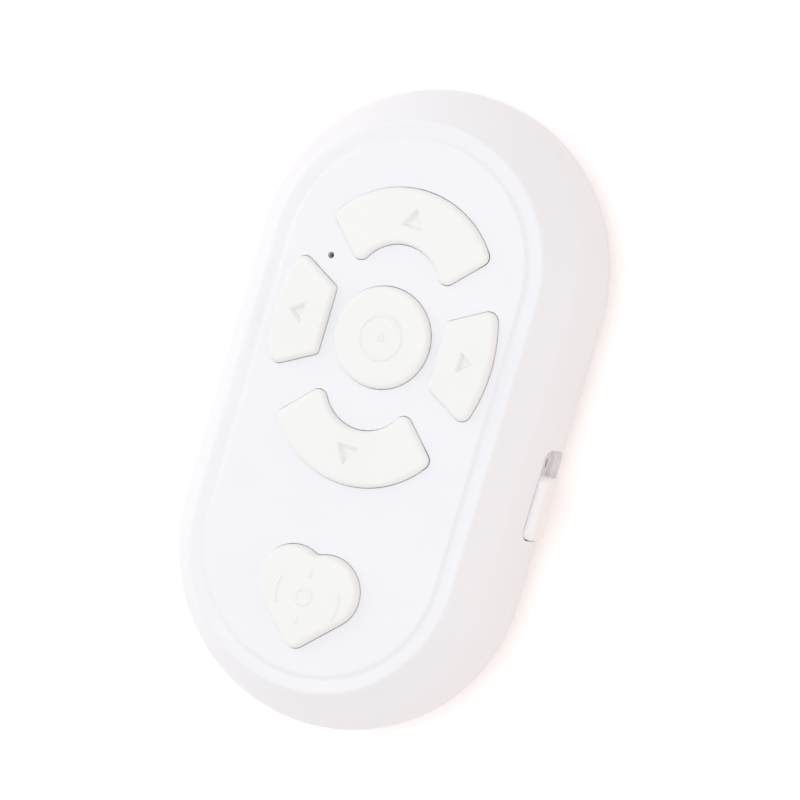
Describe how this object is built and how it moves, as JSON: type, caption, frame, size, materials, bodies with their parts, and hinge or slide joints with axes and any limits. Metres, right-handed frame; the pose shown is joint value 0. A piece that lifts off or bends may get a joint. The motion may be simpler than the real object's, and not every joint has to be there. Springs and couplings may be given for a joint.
{
  "type": "bluetooth selfie remote",
  "caption": "Small oval pocket remote with a ring of arrow keys round a select key, a heart-shaped camera key, a side power slider and a charging socket.",
  "frame": {"origin": "middle of the flat back face", "axes": "+Z out of the key face, +Y along the length to the end with the arrow keys, +X to the wall with the power slider"},
  "size_m": [0.0397, 0.0699, 0.0135],
  "materials": {
    "shell_plastic": "fine satin",
    "key_plastic": "fine satin",
    "slider_plastic": "fine satin",
    "board_laminate": "solder mask",
    "switch_black": "moulded",
    "plunger_plastic": "moulded",
    "switch_metal": "tin plated",
    "socket_steel": "nickel plated",
    "socket_plastic": "moulded",
    "screw_steel": "zinc plated",
    "cell_foil": "laminated foil",
    "lead_jacket": "smooth jacket",
    "tape_foam": "foam",
    "chip_resin": "moulded resin",
    "crystal_can": "plated lid",
    "chip_ceramic": "fired",
    "light_lens": "clear lens"
  },
  "bodies": {
    "root": {"front_cover": "shell_plastic", "rear_cover": "shell_plastic", "circuit_board": "board_laminate", "board_screws": "screw_steel", "up_tact_switch": "switch_black", "down_tact_switch": "switch_black", "left_tact_switch": "switch_black", "right_tact_switch": "switch_black", "select_tact_switch": "switch_black", "heart_tact_switch": "switch_black", "slide_switch_case": "switch_metal", "socket_shell": "socket_steel", "socket_blade": "socket_plastic", "foam_tape": "tape_foam", "battery_cell": "cell_foil", "battery_leads": "lead_jacket", "status_light": "light_lens", "radio_chip": "chip_resin", "clock_crystal": "crystal_can", "chip_antenna": "chip_ceramic", "charge_controller": "chip_resin", "capacitors": "chip_ceramic"},
    "up_button": {"up_key": "key_plastic", "up_plunger": "plunger_plastic"},
    "down_button": {"down_key": "key_plastic", "down_plunger": "plunger_plastic"},
    "left_button": {"left_key": "key_plastic", "left_plunger": "plunger_plastic"},
    "right_button": {"right_key": "key_plastic", "right_plunger": "plunger_plastic"},
    "select_button": {"select_key": "key_plastic", "select_plunger": "plunger_plastic"},
    "heart_button": {"heart_key": "key_plastic", "heart_plunger": "plunger_plastic"},
    "power_slider": {"slider_knob": "slider_plastic", "slide_lever": "switch_black"}
  },
  "joints": [
    {"name": "up_press", "type": "slide", "parent": "root", "child": "up_button", "axis": [0, 0, -1], "range_m": [0, 0.00025], "stiffness_N_per_m": 900},
    {"name": "down_press", "type": "slide", "parent": "root", "child": "down_button", "axis": [0, 0, -1], "range_m": [0, 0.00025], "stiffness_N_per_m": 900},
    {"name": "left_press", "type": "slide", "parent": "root", "child": "left_button", "axis": [0, 0, -1], "range_m": [0, 0.00025], "stiffness_N_per_m": 900},
    {"name": "right_press", "type": "slide", "parent": "root", "child": "right_button", "axis": [0, 0, -1], "range_m": [0, 0.00025], "stiffness_N_per_m": 900},
    {"name": "select_press", "type": "slide", "parent": "root", "child": "select_button", "axis": [0, 0, -1], "range_m": [0, 0.00025], "stiffness_N_per_m": 900},
    {"name": "heart_press", "type": "slide", "parent": "root", "child": "heart_button", "axis": [0, 0, -1], "range_m": [0, 0.00025], "stiffness_N_per_m": 900},
    {"name": "power_slide", "type": "slide", "parent": "root", "child": "power_slider", "axis": [0, 1, 0], "range_m": [0, 0.0024]}
  ]
}
